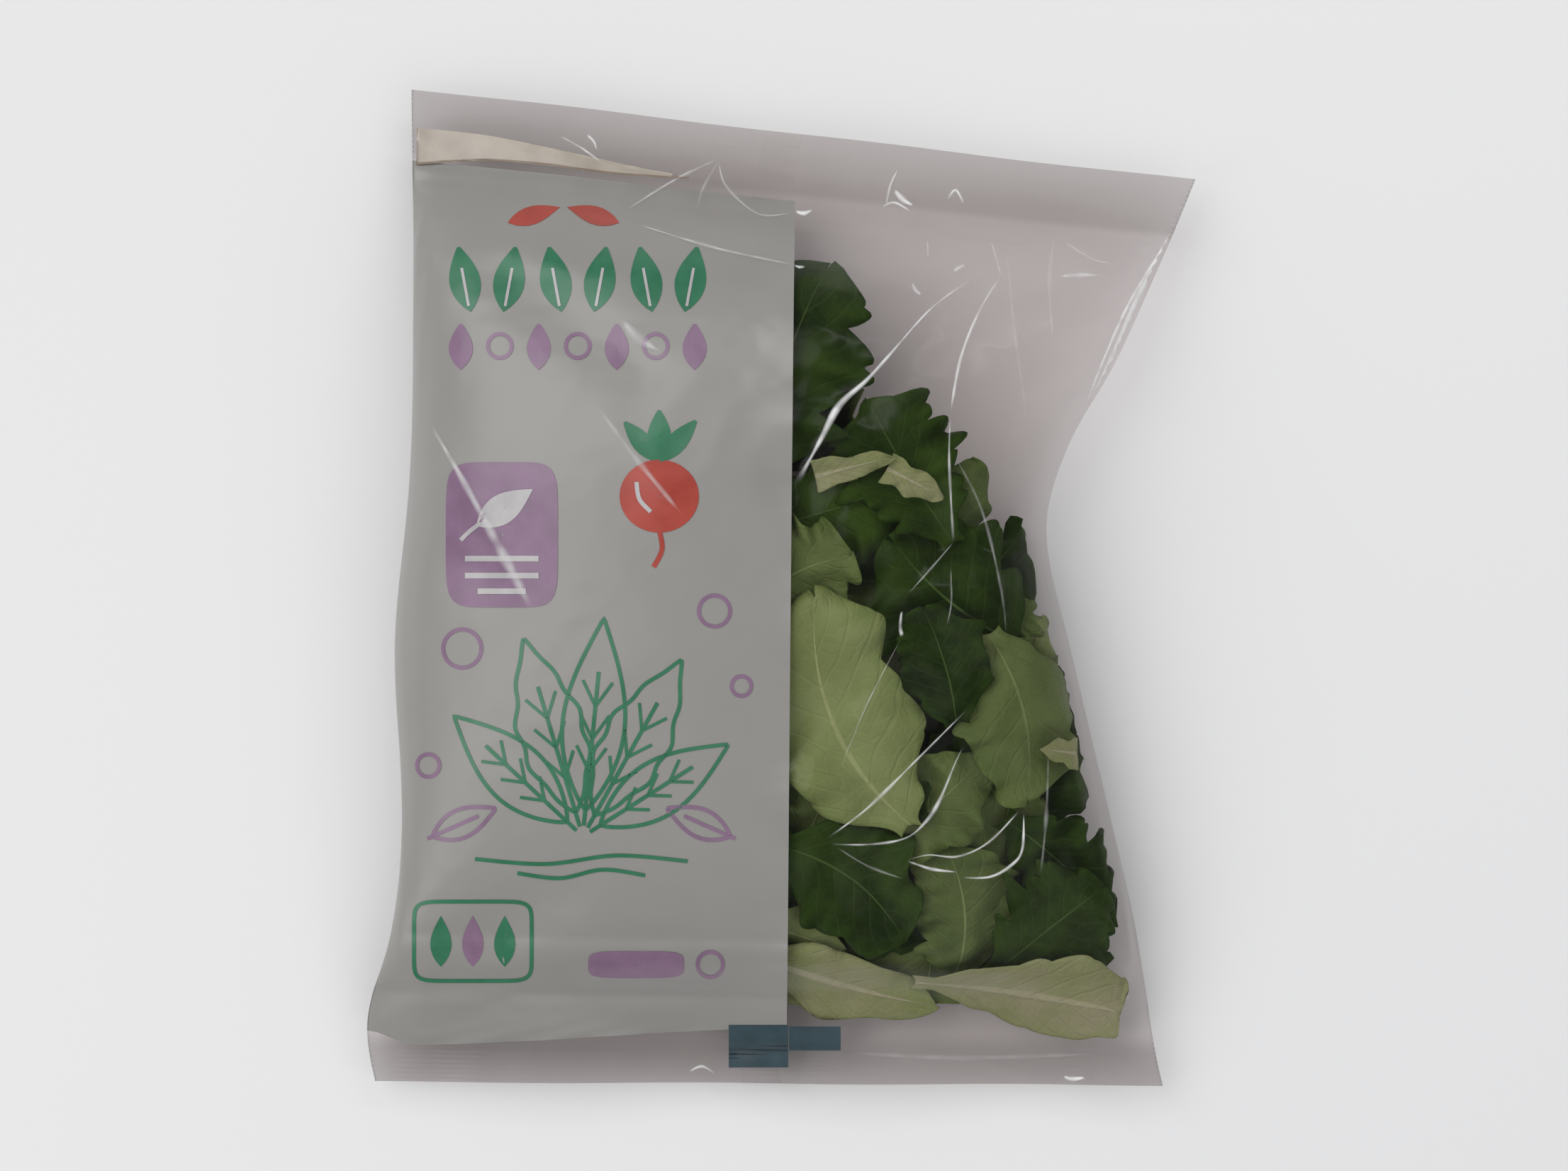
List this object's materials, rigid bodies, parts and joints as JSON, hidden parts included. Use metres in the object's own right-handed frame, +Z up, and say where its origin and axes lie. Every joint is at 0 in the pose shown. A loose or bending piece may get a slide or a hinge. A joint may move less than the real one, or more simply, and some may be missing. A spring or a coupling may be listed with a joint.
{
  "type": "bag of salad leaves",
  "caption": "Sealed film bag of salad leaves, welded flat at top and bottom, half printed and half clear, lying on its back.",
  "frame": {"origin": "on the surface that the bag lies on, under the middle of its outline", "axes": "+Y along the bag towards its top seal, +X across it towards the clear side, +Z up through the printed front"},
  "size_m": [0.228, 0.279, 0.06],
  "materials": {
    "film": "clear glossy packing film, faintly grey, with sharp white glints on its folds",
    "print": "white printed film under a clear gloss, with green, purple and red shapes",
    "leaf": "fresh frilled lettuce, from dark green rims to pale yellow-green ribs"
  },
  "bodies": {
    "root": {"salad_bag": "film"}
  },
  "joints": []
}
